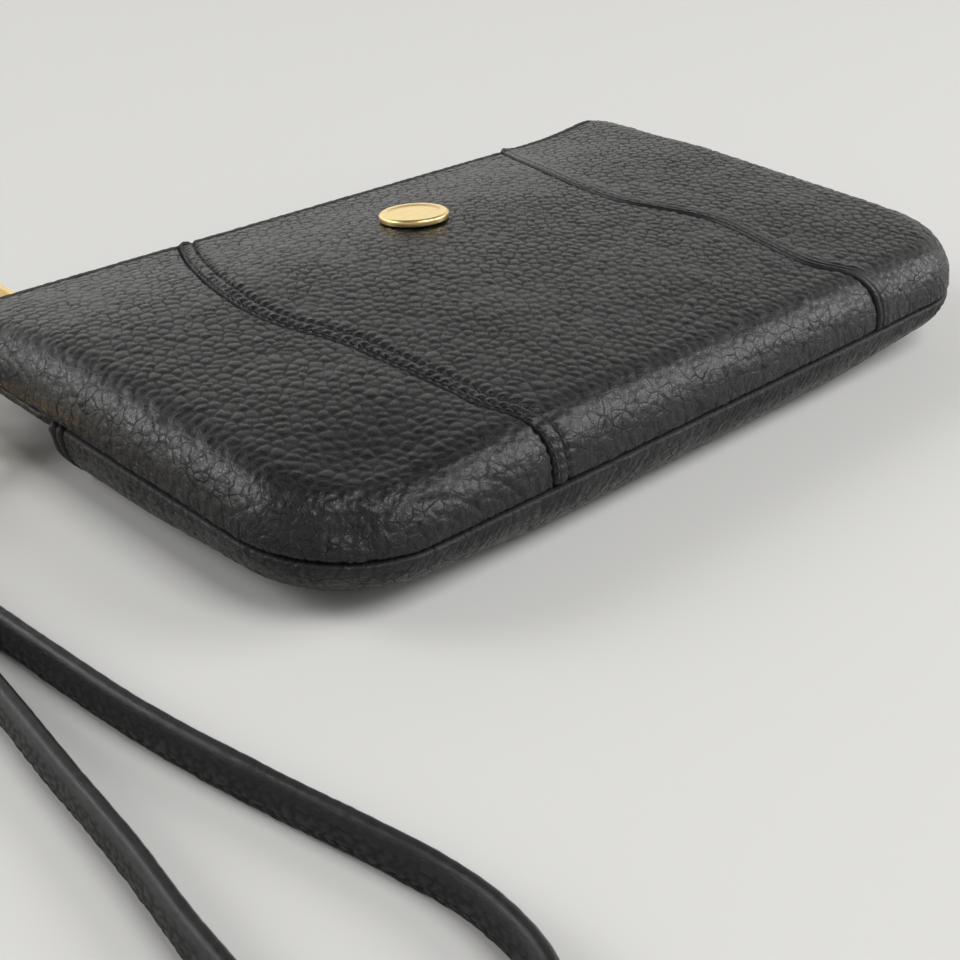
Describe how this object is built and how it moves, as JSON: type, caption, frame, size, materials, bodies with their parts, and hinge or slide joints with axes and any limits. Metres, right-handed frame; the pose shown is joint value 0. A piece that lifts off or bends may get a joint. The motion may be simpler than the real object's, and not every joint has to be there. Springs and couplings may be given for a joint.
{
  "type": "wristlet wallet",
  "caption": "Flat black pebbled-leather wristlet wallet with a zip top, panelled front, round gold plaque, back slip pocket and a wrist strap on a swivel clasp.",
  "frame": {"origin": "on the surface the wallet lies on, below the middle of its body's width and height", "axes": "+X along the width to the right seam seen from the front, +Y to the zip, +Z out of the front"},
  "size_m": [0.256, 0.2179, 0.0282],
  "materials": {
    "leather": "black pebbled leather with a soft satin sheen",
    "strap_leather": "black pebbled leather, folded and edge stitched",
    "foam": "soft padding",
    "interlining": "stiff bonded interlining",
    "lining": "plain woven lining cloth",
    "zip_tape": "woven zip tape",
    "zip_teeth": "nylon coil",
    "gold_metal": "polished pale gold plating",
    "steel": "plain"
  },
  "bodies": {
    "wallet": {"front_left_panel": "leather", "front_centre_panel": "leather", "front_right_panel": "leather", "front_padding": "foam", "front_lining": "lining", "back_lining": "lining", "back_interlining": "interlining", "back_panel": "leather", "pocket_lining": "lining", "back_pocket_panel": "leather", "zip_tape_front": "zip_tape", "zip_tape_back": "zip_tape", "zip_teeth_front": "zip_teeth", "zip_teeth_back": "zip_teeth", "zip_top_stops": "gold_metal", "zip_bottom_stop": "gold_metal", "zip_end_tab_left": "leather", "zip_end_tab_right": "leather", "badge_plate": "gold_metal", "badge_washer": "steel", "ring_tab": "leather"},
    "slider": {"zip_slider": "gold_metal"},
    "pull": {"zip_pull": "gold_metal"},
    "ring": {"d_ring": "gold_metal"},
    "clasp": {"clasp_hook": "gold_metal", "gate_pin": "steel", "gate_spring": "steel"},
    "gate": {"clasp_gate": "gold_metal"},
    "eye": {"swivel_eye": "gold_metal"},
    "strap": {"strap": "strap_leather"}
  },
  "joints": [
    {"name": "zip_slide", "type": "slide", "parent": "wallet", "child": "slider", "axis": [1, 0, 0], "range_m": [0, 0.154]},
    {"name": "pull_swing", "type": "hinge", "parent": "slider", "child": "pull", "pos_m": [-0.078, 0.06025, 0.0135], "axis": [0, 0, 1], "range_deg": [-90, 90]},
    {"name": "ring_swing", "type": "hinge", "parent": "wallet", "child": "ring", "pos_m": [-0.1063, 0.045, 0.013], "axis": [0, 1, 0], "range_deg": [-15, 95]},
    {"name": "clasp_swing", "type": "hinge", "parent": "ring", "child": "clasp", "pos_m": [-0.10885, 0.0389, 0.006], "axis": [0, 0, 1], "range_deg": [-60, 10]},
    {"name": "gate_press", "type": "hinge", "parent": "clasp", "child": "gate", "pos_m": [-0.11546, 0.031, 0.006], "axis": [0, 0, 1], "range_deg": [0, 15], "stiffness_Nm_per_rad": 0.002, "springref_deg": -17.19},
    {"name": "eye_swivel", "type": "hinge", "parent": "clasp", "child": "eye", "pos_m": [-0.12742, 0.0273, 0.006], "axis": [-0.848, -0.5299, 0], "continuous": true},
    {"name": "strap_swing", "type": "hinge", "parent": "eye", "child": "strap", "pos_m": [-0.13683, 0.02141, 0.006], "axis": [0, 0, 1], "range_deg": [-75, 10]}
  ]
}
